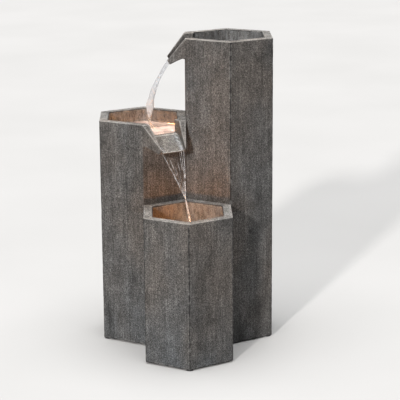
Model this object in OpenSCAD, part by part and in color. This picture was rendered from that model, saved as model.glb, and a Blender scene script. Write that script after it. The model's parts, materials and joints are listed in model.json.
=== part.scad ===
// Three-tier fountain of hexagonal columns. Water is pumped from the low column up to the tall one,
// and falls from spout to spout back into the low one. Millimetres, +Z up, the corner of the low
// column points to -Y. The origin is at the centre of the bounding box's bottom face.

/* [Columns] */
// Width of each hexagonal column across its flats
col_w = 112; // [108:1:120]
// Height of the tall column's rim
tall_h = 402; // [380:1:430]
// Height of the middle column's rim
mid_h = 297; // [280:1:320]
// Height of the low column's rim
low_h = 192; // [186:1:210]
// Thickness of the cast walls
wall = 11.5; // [10:0.5:12]
// Gap that the casting joints leave between two columns
joint_gap = 0.6; // [0.2:0.1:1]
// Thickness of the rubber feet under the columns
foot_t = 1.6; // [1:0.1:3]

/* [Spouts] */
// How far a spout reaches out from its column
spout_reach = 23.4; // [18:0.2:28]
// Width of a spout's tip
spout_tip_w = 37; // [30:1:44]
// Depth of the tip's upper edge under the rim, tall column
tall_tip_drop = 29.3; // [26:0.1:34]
// Depth of the tip's upper edge under the rim, middle column
mid_tip_drop = 31; // [26:0.1:34]
// Depth of the overflow edge under the rim, which sets the water level
weir_drop = 18.5; // [16:0.5:20]
// Width of the notch that the spout makes in the rim
notch_w = 44; // [38:1:46]

/* [Basins] */
// Depth of the upper two basin floors under their rims
basin_depth = 46; // [42:1:56]
// Thickness of a basin floor plate
floor_t = 6; // [5:0.5:8]
// Depth of the perforated tray under the low rim
tray_depth = 57; // [52:1:62]
// Thickness of the perforated tray
tray_t = 4; // [3:0.5:5]
// Thickness of the low column's cast bottom
bottom_t = 10; // [8:1:14]

/* [Water line] */
// Outer diameter of the riser hose
hose_od = 11; // [10:0.5:12]
// Inner diameter of the riser hose
hose_id = 8; // [7:0.5:8]
// Height of the hose's level run
hose_z = 100; // [98:1:104]
// Bend radius of the hose
hose_bend = 16; // [14:1:18]

/* [Electrical] */
// Outer diameter of the low-voltage leads
lead_d = 4; // [3:0.5:4]
// Outer diameter of an underwater light
light_d = 32; // [28:1:34]
// Diameter of the supply cord that the gland takes
cord_d = 6; // [5:0.5:6]

/* [Hidden] */
$fn = 48;
eps = 0.01;

// Colours
stone = [0.41, 0.4, 0.39];
black_plastic = [0.09, 0.09, 0.1];
black_rubber = [0.06, 0.06, 0.06];
steel = [0.72, 0.72, 0.7];

// The three columns stand as neighbouring cells of a honeycomb.
pitch = col_w + joint_gap;
row_y = pitch * sqrt(3) / 4;
low_c = [0, -row_y];
mid_c = [-pitch / 2, row_y];
tall_c = [pitch / 2, row_y];
face_w = col_w / sqrt(3);
root_w = face_w - 0.2;
inner_w = col_w - 2 * wall;
inner_face = inner_w / 2;
to_tall = 60;
to_mid = 120;
mid_to_low = -60;
tall_to_mid = 180;
tall_to_low = 240;
service_dir = 60;

// Heights
tall_floor_z = tall_h - basin_depth;
mid_floor_z = mid_h - basin_depth;
tray_z = low_h - tray_depth - tray_t;
pool_z = foot_t + bottom_t;
ledge_h = 8;
ledge_w = 5;
bracket_t = 3.5;
bracket_w = 16;

// Pump, along the line from the low column's centre to the tall column's
cup_h = 6;
pump_z = pool_z + cup_h;
pump_h = 34;
pump_w = 34;
pump_rear = 22;
axis_z = pump_z + 18;
outlet_x = -9;
chamber_front = -15;
chamber_rear = -4;
chamber_r = 11.8;
well_r = 7.2;
shaft_r = 1;
nipple_top = 66;
grille_x = -31;
dial_t = 2;
dial_x = grille_x - 0.3 - dial_t;

// Openings through the shared walls: [distance from the face's centre line, height]
bolt_r = 2.5;
bolt_hole_r = 2.75;
low_bolts = [[-16, 50], [16, 50]];
mid_bolts = [[0, 60], [0, 212]];
grip = 2 * wall + joint_gap;
hose_hole_r = 8;
lead_hole_r = 6.2;
lead_y = -12;
lead_z = 82;
lead_space = 5.5;
mid_lead_z = 150;
mid_lead_hole_r = 5;

// Service panel in the tall column's back face, in that face's own frame
panel_w = 52;
panel_z = [8, 128];
panel_lip = 4;
panel_depth = 9;
panel_flange = 3;
window_w = 34;
window_z = [44, 118];
cover_lip = 2.5;
cover_flange = 2.2;
gland_z = 27;
gland_r = 6.4;

// Junction box on the tall column's inner right wall
box_size = [18, 36, 36];
box_z = 40;
box_lid_t = 2;

// ---------- shared shapes ----------

// A hexagonal prism with a corner to -Y, given by its width across the flats
module hex_prism(w, h) linear_extrude(h) rotate(30) circle(r = w / sqrt(3), $fn = 6);

// Children in the frame of a column's face: X is outward from the column's axis
module at_face(centre, dir) translate([centre[0], centre[1], 0]) rotate([0, 0, dir]) children();

// A round bar along X between two distances
module bar_x(r, x0, x1, y = 0, z = 0) translate([x0, y, z]) rotate([0, 90, 0]) cylinder(r = r, h = x1 - x0);

// A block between two corners
module block(lo, hi) translate(lo) cube(hi - lo);

// A tube along X
module tube_x(r_out, r_in, x0, x1, y = 0, z = 0) difference() {
    bar_x(r_out, x0, x1, y, z);
    bar_x(r_in, x0 - 1, x1 + 1, y, z);
}

// A tube along Z
module tube_z(r_out, r_in, z0, z1) translate([0, 0, z0]) difference() {
    cylinder(r = r_out, h = z1 - z0);
    translate([0, 0, -1]) cylinder(r = r_in, h = z1 - z0 + 2);
}

// ---------- castings ----------

// Side view of a spout, X outward and Y up from the rim
function spout_side(tip_drop) = [[-wall / 2, 0], [0, 0], [spout_reach, -tip_drop],
    [spout_reach - 3.2, -tip_drop - 5.5], [8.6, -tip_drop + 1.3], [4.1, -tip_drop + 3.7],
    [0, -tip_drop + 2.9], [-wall / 2, -tip_drop + 2.9]];

// Side view of the channel through the wall and down the spout
function channel_side(tip_drop) = [[-wall - 1, -weir_drop], [-wall / 2, -weir_drop],
    [spout_reach - 2, -tip_drop - 3.6], [spout_reach + 8, -tip_drop - 3.6 - 10 * chute_slope(tip_drop)],
    [spout_reach + 8, 5], [-wall - 1, 5]];
function chute_slope(tip_drop) = (tip_drop + 3.6 - weir_drop) / (spout_reach - 2 + wall / 2);

// Extrudes a side view across the face
module across(w) rotate([90, 0, 0]) translate([0, 0, -w / 2]) linear_extrude(w) children();

// The solid of a spout, which narrows from the face's full width to the tip
module spout_body(h, tip_drop) translate([col_w / 2, 0, h]) intersection() {
    across(face_w) polygon(spout_side(tip_drop));
    translate([0, 0, -80]) linear_extrude(90) polygon([[-wall / 2, -root_w / 2], [0, -root_w / 2],
        [spout_reach, -spout_tip_w / 2], [spout_reach, spout_tip_w / 2], [0, root_w / 2],
        [-wall / 2, root_w / 2]]);
}

// The channel that the water runs through, between cheeks that thin out towards the tip
module spout_channel(h, tip_drop) translate([col_w / 2, 0, h]) intersection() {
    across(notch_w + 10) polygon(channel_side(tip_drop));
    translate([0, 0, -80]) linear_extrude(100) polygon([[-wall - 1, -notch_w / 2], [0, -notch_w / 2],
        [spout_reach + 8, -spout_tip_w / 2 + 3], [spout_reach + 8, spout_tip_w / 2 - 3], [0, notch_w / 2],
        [-wall - 1, notch_w / 2]]);
}

module column_tube(h) translate([0, 0, foot_t]) difference() {
    hex_prism(col_w, h - foot_t);
    translate([0, 0, -1]) hex_prism(inner_w, h + 2);
}

// A shelf round the inside of a column, with its top at z
module ledge(z) translate([0, 0, z - ledge_h]) difference() {
    hex_prism(inner_w + 2, ledge_h);
    translate([0, 0, -1]) hex_prism(inner_w - 2 * ledge_w, ledge_h + 2);
}

// Bolt holes through one wall of a column
module bolt_holes(places) for (p = places)
    bar_x(bolt_hole_r, inner_face - 1, col_w / 2 + 1, p[0], p[1]);

module wall_hole(r, y, z) bar_x(r, inner_face - 1, col_w / 2 + 1, y, z);

module tall_column() color(stone) difference() {
    union() {
        at_face(tall_c, 0) column_tube(tall_h);
        at_face(tall_c, 0) ledge(tall_floor_z - floor_t);
        at_face(tall_c, tall_to_mid) spout_body(tall_h, tall_tip_drop);
    }
    at_face(tall_c, tall_to_mid) {
        spout_channel(tall_h, tall_tip_drop);
        bolt_holes(mid_bolts);
        wall_hole(mid_lead_hole_r, 0, mid_lead_z);
    }
    at_face(tall_c, tall_to_low) {
        bolt_holes(low_bolts);
        wall_hole(hose_hole_r, 0, hose_z);
        wall_hole(lead_hole_r, -lead_y, lead_z);
    }
    at_face(tall_c, service_dir) {
        block([inner_face - 1, -panel_w / 2 + panel_lip, panel_z[0] + panel_lip],
            [col_w / 2 + 1, panel_w / 2 - panel_lip, panel_z[1] - panel_lip]);
        block([col_w / 2 - panel_flange, -panel_w / 2, panel_z[0]],
            [col_w / 2 + 1, panel_w / 2, panel_z[1]]);
    }
}

module middle_column() color(stone) difference() {
    union() {
        at_face(mid_c, 0) column_tube(mid_h);
        at_face(mid_c, 0) ledge(mid_floor_z - floor_t);
        at_face(mid_c, mid_to_low) spout_body(mid_h, mid_tip_drop);
    }
    at_face(mid_c, mid_to_low) {
        spout_channel(mid_h, mid_tip_drop);
        bolt_holes(low_bolts);
    }
    at_face(mid_c, 0) {
        bolt_holes(mid_bolts);
        wall_hole(mid_lead_hole_r, 0, mid_lead_z);
    }
}

module low_column() color(stone) difference() {
    union() {
        at_face(low_c, 0) column_tube(low_h);
        at_face(low_c, 0) translate([0, 0, foot_t]) hex_prism(inner_w + 2, bottom_t);
        at_face(low_c, 0) ledge(tray_z);
    }
    at_face(low_c, to_tall) {
        bolt_holes(low_bolts);
        wall_hole(hose_hole_r, 0, hose_z);
        wall_hole(lead_hole_r, lead_y, lead_z);
    }
    at_face(low_c, to_mid) bolt_holes(low_bolts);
    at_face(low_c, 0) block([-inner_face - 0.1, -bracket_w / 2 - 0.3, tray_z - bracket_t - 0.5],
        [inner_face + 0.1, bracket_w / 2 + 0.3, tray_z + 1]);
}

module floor_plate(z, hole_r) translate([0, 0, z - floor_t]) difference() {
    hex_prism(inner_w - 0.2, floor_t);
    translate([0, 0, -1]) cylinder(r = hole_r, h = floor_t + 2);
}

module tall_basin_floor() color(stone * 0.8) at_face(tall_c, 0) floor_plate(tall_floor_z, 7.2);
module middle_basin_floor() color(stone * 0.8) at_face(mid_c, 0) floor_plate(mid_floor_z, 5);

// ---------- low basin's fittings ----------

tray_hole_r = 2.6;
tray_rings = [[26, 12], [35, 12]];
light_r = light_d / 2;

module pump_tray() color(black_plastic) at_face(low_c, 0) translate([0, 0, tray_z]) difference() {
    hex_prism(inner_w - 1, tray_t);
    translate([0, 0, -1]) cylinder(r = light_r + 1.2, h = tray_t + 2);
    for (ring = tray_rings, i = [0 : ring[1] - 1]) rotate([0, 0, (i + 0.5) * 360 / ring[1]])
        translate([ring[0], 0, -1]) cylinder(r = tray_hole_r, h = tray_t + 2, $fn = 24);
}

module light_bracket() color(black_plastic) at_face(low_c, 0)
    translate([0, 0, tray_z - bracket_t - 0.5]) difference() {
        block([-inner_face + 0.3, -bracket_w / 2, 0], [inner_face - 0.3, bracket_w / 2, bracket_t]);
        translate([0, 0, -1]) cylinder(r = lead_d / 2 + 0.5, h = bracket_t + 2);
    }

foot_r = 4.6;
foot_ring = (col_w / sqrt(3) + inner_w / sqrt(3)) / 2;
module rubber_feet() color(black_rubber)
    for (place = [[low_c, [270, 30, 150]], [mid_c, [90, 210, 330]], [tall_c, [90, 330, 210]]],
        angle = place[1])
        at_face(place[0], angle) translate([foot_ring, 0, 0]) cylinder(r = foot_r, h = foot_t);

// ---------- bolts that clamp the columns together ----------

seal_t = 1.5;
washer_t = 1;
head_t = 3.5;
nut_t = 4;

// Children at each bolt, in a frame whose X runs from the bolt's head side through both walls.
// X is 0 at the first wall's inner face.
module at_bolts() {
    for (p = low_bolts) at_face(low_c, to_tall) translate([inner_face, p[0], p[1]]) children();
    for (p = low_bolts) at_face(low_c, to_mid) translate([inner_face, p[0], p[1]]) children();
}
module at_mid_bolts() for (p = mid_bolts)
    at_face(mid_c, 0) translate([inner_face, p[0], p[1]]) children();

module bolt(under_head) {
    bar_x(bolt_r, -under_head, grip + washer_t + nut_t + 2);
    translate([-under_head - head_t, 0, 0]) rotate([0, 90, 0]) cylinder(r = 4.6, h = head_t, $fn = 6);
}
module column_bolts() color(steel) {
    at_bolts() bolt(seal_t + washer_t);
    at_mid_bolts() bolt(washer_t);
}
module nut() translate([grip + washer_t, 0, 0]) difference() {
    rotate([0, 90, 0]) cylinder(r = 4.6, h = nut_t, $fn = 6);
    bar_x(bolt_r, -1, nut_t + 1);
}
module column_nuts() color(steel) {
    at_bolts() nut();
    at_mid_bolts() nut();
}
module washer_pair(head_gap) {
    tube_x(6, bolt_r + 0.1, -head_gap - washer_t, -head_gap);
    tube_x(6, bolt_r + 0.1, grip, grip + washer_t);
}
module bolt_washers() color(steel) {
    at_bolts() washer_pair(seal_t);
    at_mid_bolts() washer_pair(0);
}
module bolt_seals() color(black_rubber) at_bolts() tube_x(6, bolt_r, -seal_t, 0);

// ---------- service panel and cord gland, in the tall column's back face ----------

face_x = col_w / 2;
frame_back = face_x - panel_depth;

module service_frame() color([0.3, 0.3, 0.3]) at_face(tall_c, service_dir) difference() {
    union() {
        block([face_x - panel_flange, -panel_w / 2 + 0.2, panel_z[0] + 0.2],
            [face_x, panel_w / 2 - 0.2, panel_z[1] - 0.2]);
        block([frame_back, -panel_w / 2 + panel_lip + 0.2, panel_z[0] + panel_lip + 0.2],
            [face_x - panel_flange, panel_w / 2 - panel_lip - 0.2, panel_z[1] - panel_lip - 0.2]);
    }
    block([frame_back - 1, -window_w / 2, window_z[0]], [face_x + 1, window_w / 2, window_z[1]]);
    block([face_x - cover_flange, -window_w / 2 - cover_lip, window_z[0] - cover_lip],
        [face_x + 1, window_w / 2 + cover_lip, window_z[1] + cover_lip]);
    bar_x(gland_r + 0.1, frame_back - 1, face_x + 1, 0, gland_z);
}

cover_gap = 0.3;
cover_plug = 4.5;
cover_w = window_w + 2 * (cover_lip - cover_gap);
cover_mid_z = (window_z[0] + window_z[1]) / 2;
module service_cover() color(stone) at_face(tall_c, service_dir) {
    difference() {
        union() {
            block([face_x - cover_flange, -cover_w / 2, window_z[0] - cover_lip + cover_gap],
                [face_x, cover_w / 2, window_z[1] + cover_lip - cover_gap]);
            block([face_x - cover_flange - cover_plug, -window_w / 2 + cover_gap, window_z[0] + cover_gap],
                [face_x - cover_flange, window_w / 2 - cover_gap, window_z[1] - cover_gap]);
        }
        block([face_x - cover_flange - cover_plug - 1, -window_w / 2 + 2.5, window_z[0] + 2.5],
            [face_x - cover_flange, window_w / 2 - 2.5, window_z[1] - 2.5]);
    }
    translate([face_x, 0, cover_mid_z]) rotate([0, 90, 0]) rotate_extrude()
        polygon([[0, -eps], [4, -eps], [3.2, 3], [4, 5], [6, 6.5], [6, 8], [5, 9], [0, 9]]);
}

gland_hex = 9.2;
cord_r = cord_d / 2;
gland_neck = 8;
module gland_body() color(black_plastic) at_face(tall_c, service_dir) translate([0, 0, gland_z])
    difference() {
        union() {
            bar_x(gland_r, frame_back - 8, face_x + gland_neck);
            translate([face_x, 0, 0]) rotate([0, 90, 0]) cylinder(r = gland_hex, h = 3, $fn = 6);
        }
        bar_x(cord_r + 0.2, frame_back - 9, face_x + gland_neck + 1);
        bar_x(cord_r + 1.6, face_x - 2, face_x + gland_neck + 1);
    }
module gland_nut() color(black_plastic) at_face(tall_c, service_dir) translate([frame_back - 5, 0, gland_z])
    difference() {
        rotate([0, 90, 0]) cylinder(r = gland_hex, h = 5, $fn = 6);
        bar_x(gland_r, -1, 6);
    }
module gland_seal() color(black_rubber) at_face(tall_c, service_dir)
    tube_x(cord_r + 1.6, cord_r, face_x - 2, face_x + gland_neck, 0, gland_z);
module gland_cap() color(black_plastic) at_face(tall_c, service_dir) translate([face_x, 0, gland_z])
    difference() {
        rotate([0, 90, 0]) rotate_extrude() polygon([[0, 3], [8.4, 3], [8.4, 9], [6, 11], [0, 11]]);
        bar_x(gland_r, 0, gland_neck);
        bar_x(cord_r + 0.3, 0, 12);
    }

// ---------- water line ----------

hose_ro = hose_od / 2;
hose_ri = hose_id / 2;
nipple_bore = 2.8;
barrel_r = 7;
fitting_flange_t = 3;
gasket_t = 1.5;
hose_start = 54;
hose_end = tall_floor_z - 20;

module outlet_fitting() color(black_plastic) translate([tall_c[0], tall_c[1], 0]) difference() {
    union() {
        translate([0, 0, tall_floor_z + gasket_t]) cylinder(r = 11, h = fitting_flange_t);
        translate([0, 0, tall_floor_z - 17]) cylinder(r = barrel_r, h = 17 + gasket_t + eps);
        translate([0, 0, tall_floor_z]) cylinder(r = 6, h = 16);
        translate([0, 0, hose_end - 12]) cylinder(r = hose_ri, h = 20);
    }
    translate([0, 0, hose_end - 13]) cylinder(r = nipple_bore, h = 60);
}
module outlet_nut() color(black_plastic)
    translate([tall_c[0], tall_c[1], tall_floor_z - floor_t - 6]) difference() {
        cylinder(r = 11.5, h = 6, $fn = 6);
        translate([0, 0, -1]) cylinder(r = barrel_r, h = 8);
    }
module outlet_gasket() color(black_rubber) translate([tall_c[0], tall_c[1], 0])
    tube_z(11, barrel_r, tall_floor_z, tall_floor_z + gasket_t);

module hose_ring() difference() {
    circle(r = hose_ro);
    circle(r = hose_ri);
}
// A quarter bend of the hose, from straight up at the origin to level along +X, centred at +X bend
module hose_quarter() translate([hose_bend, 0, 0]) rotate([90, 0, 0]) rotate([0, 0, 90])
    rotate_extrude(angle = 90) translate([hose_bend, 0]) hose_ring();

// The hose leaves the pump upwards, runs level through the shared wall and rises up the tall column.
module riser_hose() color([0.75, 0.78, 0.76]) at_face(low_c, to_tall) {
    translate([outlet_x, 0, hose_start]) linear_extrude(hose_z - hose_bend - hose_start) hose_ring();
    translate([outlet_x, 0, hose_z - hose_bend]) hose_quarter();
    translate([outlet_x + hose_bend, 0, hose_z]) rotate([0, 90, 0])
        linear_extrude(pitch - outlet_x - 2 * hose_bend) hose_ring();
    translate([pitch, 0, hose_z + hose_bend]) rotate([0, 180, 0]) hose_quarter();
    translate([pitch, 0, hose_z + hose_bend]) linear_extrude(hose_end - hose_z - hose_bend) hose_ring();
}

grommet_flange = 2.5;
module hose_grommet() color(black_rubber) at_face(low_c, to_tall) difference() {
    union() {
        bar_x(hose_hole_r, inner_face - grommet_flange, inner_face + grip + grommet_flange, 0, hose_z);
        bar_x(11.5, inner_face - grommet_flange, inner_face, 0, hose_z);
        bar_x(11.5, inner_face + grip, inner_face + grip + grommet_flange, 0, hose_z);
    }
    bar_x(hose_ro, inner_face - 5, inner_face + grip + 5, 0, hose_z);
}

clamp_w = 6;
module clamp(z) translate([0, 0, z]) {
    tube_z(hose_ro + 1, hose_ro, 0, clamp_w);
    block([hose_ro + 0.8, -3, 0], [hose_ro + 5, -1, clamp_w]);
    block([hose_ro + 0.8, 1, 0], [hose_ro + 5, 3, clamp_w]);
}
module hose_clamps() color(steel) {
    at_face(low_c, to_tall) translate([outlet_x, 0, 0]) rotate([0, 0, 180]) clamp(hose_start + 3);
    translate([tall_c[0], tall_c[1], 0]) clamp(hose_end - 9);
}

// ---------- pump ----------

core_t = 3.3;
core_x = [1, 17];
coil_z = [pump_z + 1.6, pump_z + 10];

module core_shape() {
    for (side = [-1, 1]) block([core_x[0], side * 10.9 - core_t / 2, pump_z + 3.5],
        [core_x[1], side * 10.9 + core_t / 2, pump_z + 30]);
    block([core_x[0], -11, pump_z + 3.5], [core_x[1], 11, pump_z + 7.5]);
}
module coil_block() block([core_x[0] - 1.8, -9, coil_z[0]], [core_x[1] + 1.8, 9, coil_z[1]]);

// The barbed outlet on top of the impeller chamber
module outlet_nipple() translate([outlet_x, 0, 0]) {
    translate([0, 0, axis_z]) cylinder(r = hose_ri, h = nipple_top - axis_z);
    translate([0, 0, axis_z]) cylinder(r = 5.2, h = hose_start - axis_z);
}
module pump_housing() color(black_plastic) at_face(low_c, to_tall) difference() {
    union() {
        block([chamber_rear, -pump_w / 2, pump_z], [pump_rear, pump_w / 2, pump_z + pump_h]);
        bar_x(chamber_r + 2, chamber_front, chamber_rear + 1, 0, axis_z);
        outlet_nipple();
    }
    bar_x(chamber_r, chamber_front - 1, chamber_rear, 0, axis_z);
    bar_x(well_r, chamber_rear - 1, 17, 0, axis_z);
    bar_x(3, 16, 20, 0, axis_z);
    translate([outlet_x, 0, axis_z]) cylinder(r = nipple_bore, h = 60);
    core_shape();
    coil_block();
    translate([boot_x, lead_1[1], pump_top - lead_socket]) cylinder(r = lead_d / 2, h = 6);
}
module stator_core() color(steel * 0.7) at_face(low_c, to_tall) core_shape();
module stator_coil() color([0.7, 0.4, 0.2]) at_face(low_c, to_tall) difference() {
    coil_block();
    core_shape();
}

hub_r = 4.5;
cover_in = -17;
module volute_cover() color(black_plastic) at_face(low_c, to_tall) difference() {
    union() {
        difference() {
            bar_x(chamber_r + 2, cover_in, chamber_front, 0, axis_z);
            bar_x(9.5, cover_in - 1, chamber_front + 1, 0, axis_z);
        }
        bar_x(hub_r, cover_in - 2.5, chamber_front, 0, axis_z);
        for (k = [0 : 2]) translate([0, 0, axis_z]) rotate([k * 120 + 90, 0, 0])
            block([cover_in, 3.5, -1], [chamber_front, 10, 1]);
    }
    bar_x(3, cover_in - 1.5, chamber_front + 1, 0, axis_z);
}

vane_count = 6;
vane_x = [-14.2, -5.5];
sleeve_end = 15.5;
module impeller() color([0.85, 0.85, 0.82]) at_face(low_c, to_tall) translate([0, 0, axis_z]) difference() {
    union() {
        bar_x(4, vane_x[0] - 0.3, vane_x[1] + 0.5);
        bar_x(6.4, vane_x[1], vane_x[1] + 1);
        bar_x(3, vane_x[1] - 2, sleeve_end);
        for (k = [0 : vane_count - 1]) rotate([k * 360 / vane_count, 0, 0])
            block([vane_x[0], 3, -0.6], [vane_x[1] + 0.5, 10.4, 0.6]);
    }
    bar_x(shaft_r + 0.06, vane_x[0] - 2, sleeve_end + 1);
}
module rotor_magnet() color([0.2, 0.2, 0.22]) at_face(low_c, to_tall)
    tube_x(6.5, 3, vane_x[1] + 1.2, sleeve_end, 0, axis_z);
module impeller_shaft() color([0.95, 0.95, 0.92]) at_face(low_c, to_tall)
    bar_x(shaft_r, cover_in - 1.3, 19.8, 0, axis_z);
module shaft_bushes() color(black_rubber) at_face(low_c, to_tall) {
    tube_x(3, shaft_r, cover_in - 1.5, chamber_front - 0.3, 0, axis_z);
    tube_x(3, shaft_r, 17, 20, 0, axis_z);
}

shell_t = 1.6;
foam_x = [grille_x + shell_t, cover_in - 2.7];
module intake_foam() color([0.15, 0.16, 0.18]) at_face(low_c, to_tall)
    block([foam_x[0], -pump_w / 2 + shell_t + 0.3, pump_z + shell_t + 0.3],
        [foam_x[1], pump_w / 2 - shell_t - 0.3, pump_z + pump_h - shell_t - 0.3]);

slot_count = 5;
module intake_cover() color(black_plastic) at_face(low_c, to_tall) {
    difference() {
        block([grille_x, -pump_w / 2, pump_z], [chamber_rear - 0.2, pump_w / 2, pump_z + pump_h]);
        block([grille_x + shell_t, -pump_w / 2 + shell_t, pump_z + shell_t],
            [chamber_rear + 1, pump_w / 2 - shell_t, pump_z + pump_h - shell_t]);
        // slot that lets the cover slide on past the outlet
        block([outlet_x - 5.6, -5.6, pump_z + pump_h - 3], [chamber_rear + 1, 5.6, pump_z + pump_h + 1]);
        // three fan-shaped intake openings in the front
        for (k = [0 : 2]) translate([grille_x - 1, 0, axis_z]) rotate([k * 120 + 30, 0, 0])
            block([0, 4, -2.6], [shell_t + 2, 9.6, 2.6]);
        // slots along both sides
        for (side = [-1, 1], k = [0 : slot_count - 1])
            block([grille_x + 4, side * pump_w / 2 - 2, pump_z + 6 + k * 5],
                [grille_x + 11, side * pump_w / 2 + 2, pump_z + 8 + k * 5]);
    }
    bar_x(1.5, dial_x - 0.3, grille_x + 0.5, 0, axis_z);
    bar_x(2.6, dial_x - 1.3, dial_x - 0.3, 0, axis_z);
}
module flow_dial() color([0.25, 0.45, 0.7]) at_face(low_c, to_tall) translate([0, 0, axis_z]) {
    difference() {
        bar_x(11, dial_x, dial_x + dial_t);
        bar_x(1.57, dial_x - 1, dial_x + dial_t + 1);
        for (k = [0 : 2]) rotate([k * 120 + 30, 0, 0])
            block([dial_x - 1, 4, -2.6], [dial_x + dial_t + 1, 9.6, 2.6]);
    }
    rotate([90, 0, 0]) block([dial_x - 2, 5, -1], [dial_x + eps, 10.5, 1]);
}

cup_places = [[1, -11], [1, 11], [18, -11], [18, 11]];
module suction_cups() color(black_rubber) at_face(low_c, to_tall) for (p = cup_places)
    translate([p[0], p[1], pool_z]) rotate_extrude()
        polygon([[0, 2], [4.6, 0], [5.6, 0], [5.2, 1.4], [2.6, 3.4], [2.6, cup_h], [0, cup_h]]);

// ---------- leads ----------

boot_x = 12;
lead_socket = 3.5;
lead_1 = [0, lead_y + lead_space / 2];
lead_2 = [0, lead_y - lead_space / 2];
pump_top = pump_z + pump_h;

// A point given along the line from the low column's centre to the tall column's
function low_pt(x, y, z) = [low_c[0] + x * cos(to_tall) - y * sin(to_tall),
    low_c[1] + x * sin(to_tall) + y * cos(to_tall), z];

// A smooth curve through points, with a given number of steps between two of them
function at(p, i) = p[max(0, min(len(p) - 1, i))];
function between(a, b, c, d, t) = 0.5 * (2 * b + (c - a) * t + (2 * a - 5 * b + 4 * c - d) * t * t
    + (3 * b - a - 3 * c + d) * t * t * t);
function smooth(p, steps) = [for (i = [0 : len(p) - 2], k = [0 : steps - 1])
    between(at(p, i - 1), p[i], p[i + 1], at(p, i + 2), k / steps), p[len(p) - 1]];
function unit(v) = v / norm(v);
function heading(p, i) = unit(at(p, i + 1) - at(p, i - 1));

// A round lead swept along a route, as one polyhedron. side is a direction that the route never takes.
module swept(route, d, side) {
    sides = 8;
    p = smooth(route, 4);
    n = len(p);
    points = [for (i = [0 : n - 1]) let (u = unit(cross(heading(p, i), side)), v = cross(heading(p, i), u))
        for (k = [0 : sides - 1]) p[i] + d / 2 * (cos(k * 360 / sides) * u + sin(k * 360 / sides) * v)];
    skin = [for (i = [0 : n - 2], k = [0 : sides - 1]) let (j = (k + 1) % sides)
        [i * sides + k, i * sides + j, (i + 1) * sides + j, (i + 1) * sides + k]];
    ends = [[for (k = [sides - 1 : -1 : 0]) k], [for (k = [0 : sides - 1]) (n - 1) * sides + k]];
    polyhedron(points, concat(skin, ends));
}

wall_in = inner_face;
wall_out = inner_face + grip;
box_x = tall_c[0] + inner_face - box_size[0];
box_y = tall_c[1] - box_size[1] / 2;

pump_route = [low_pt(boot_x, lead_1[1], pump_top - lead_socket), low_pt(boot_x, lead_1[1], pump_top + 4),
    low_pt(boot_x, lead_1[1], pump_top + 9), low_pt(boot_x + 1, lead_1[1], 68),
    low_pt(boot_x + 6, lead_1[1], 77), low_pt(boot_x + 15, lead_1[1], lead_z - 0.6),
    low_pt(wall_in - 8, lead_1[1], lead_z),
    low_pt(wall_in - 3, lead_1[1], lead_z), low_pt(wall_out + 3, lead_1[1], lead_z),
    low_pt(wall_out + 7, lead_1[1], lead_z), [57, 15, 76], [71, 16, 66], [83, 20, 60],
    [box_x + 5, box_y - 5, 58], [box_x + 5, box_y - 1, 58], [box_x + 5, box_y + 3, 58]];

light_route = [low_pt(0, 0, tray_z + 3), low_pt(0, 0, tray_z - 6), low_pt(3, -5, 117), low_pt(8, -12, 105),
    low_pt(15, lead_2[1], 93), low_pt(25, lead_2[1], 84), low_pt(wall_in - 8, lead_2[1], lead_z),
    low_pt(wall_in - 3, lead_2[1], lead_z), low_pt(wall_out + 3, lead_2[1], lead_z),
    low_pt(wall_out + 7, lead_2[1], lead_z), [66, 7, 79], [80, 14, 70], [92, 21, 61],
    [box_x + 12.5, box_y - 5, 58], [box_x + 12.5, box_y - 1, 58], [box_x + 12.5, box_y + 3, 58]];

mid_route = [[mid_c[0], mid_c[1], mid_floor_z + 3], [mid_c[0], mid_c[1], mid_floor_z - 20],
    [mid_c[0], mid_c[1], 180], [mid_c[0] + 5, mid_c[1], 163], [mid_c[0] + 17, mid_c[1], 152],
    [-24, mid_c[1], mid_lead_z], [-16, mid_c[1], mid_lead_z], [16, mid_c[1], mid_lead_z],
    [22, mid_c[1], mid_lead_z], [34, 53, 145], [48, 63, 130], [68, 68, 110], [84, 64, 96],
    [box_x + 9, box_y + 26, 84], [box_x + 9, box_y + 26, box_z + box_size[2] + 2],
    [box_x + 9, box_y + 26, box_z + box_size[2] - 3]];

lead_black = [0.07, 0.07, 0.08];
module pump_lead() color(lead_black) swept(pump_route, lead_d, [sin(to_tall), -cos(to_tall), 0.35]);
module low_light_lead() color(lead_black) swept(light_route, lead_d, [sin(to_tall), -cos(to_tall), 0.35]);
module middle_light_lead() color(lead_black) swept(mid_route, lead_d, [0.3, 1, 0.3]);
module pump_lead_boot() color(black_rubber) at_face(low_c, to_tall)
    translate([boot_x, lead_1[1], pump_top]) difference() {
        cylinder(r1 = 4, r2 = 2.9, h = 8);
        translate([0, 0, -1]) cylinder(r = lead_d / 2, h = 10);
    }

// A rubber grommet for leads through both walls between two columns; X is 0 at the first inner face
module wall_grommet(r, flange_r, holes) difference() {
    union() {
        bar_x(r, -2, grip + 2);
        bar_x(flange_r, -2, 0);
        bar_x(flange_r, grip, grip + 2);
    }
    for (y = holes) bar_x(lead_d / 2, -3, grip + 3, y);
}
module lead_grommet() color(black_rubber) at_face(low_c, to_tall)
    translate([inner_face, lead_y, lead_z])
        wall_grommet(lead_hole_r, 8.5, [-lead_space / 2, lead_space / 2]);
module middle_wall_grommet() color(black_rubber) at_face(mid_c, 0)
    translate([inner_face, 0, mid_lead_z]) wall_grommet(mid_lead_hole_r, 7.5, [0]);
module middle_floor_grommet() color(black_rubber) translate([mid_c[0], mid_c[1], mid_floor_z])
    difference() {
        union() {
            translate([0, 0, -floor_t - 2]) cylinder(r = 5, h = floor_t + 4);
            cylinder(r = 7.5, h = 2);
            translate([0, 0, -floor_t - 2]) cylinder(r = 7.5, h = 2);
        }
        translate([0, 0, -floor_t - 3]) cylinder(r = lead_d / 2, h = floor_t + 6);
    }

// ---------- underwater lights, with their base at z = 0 ----------

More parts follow.
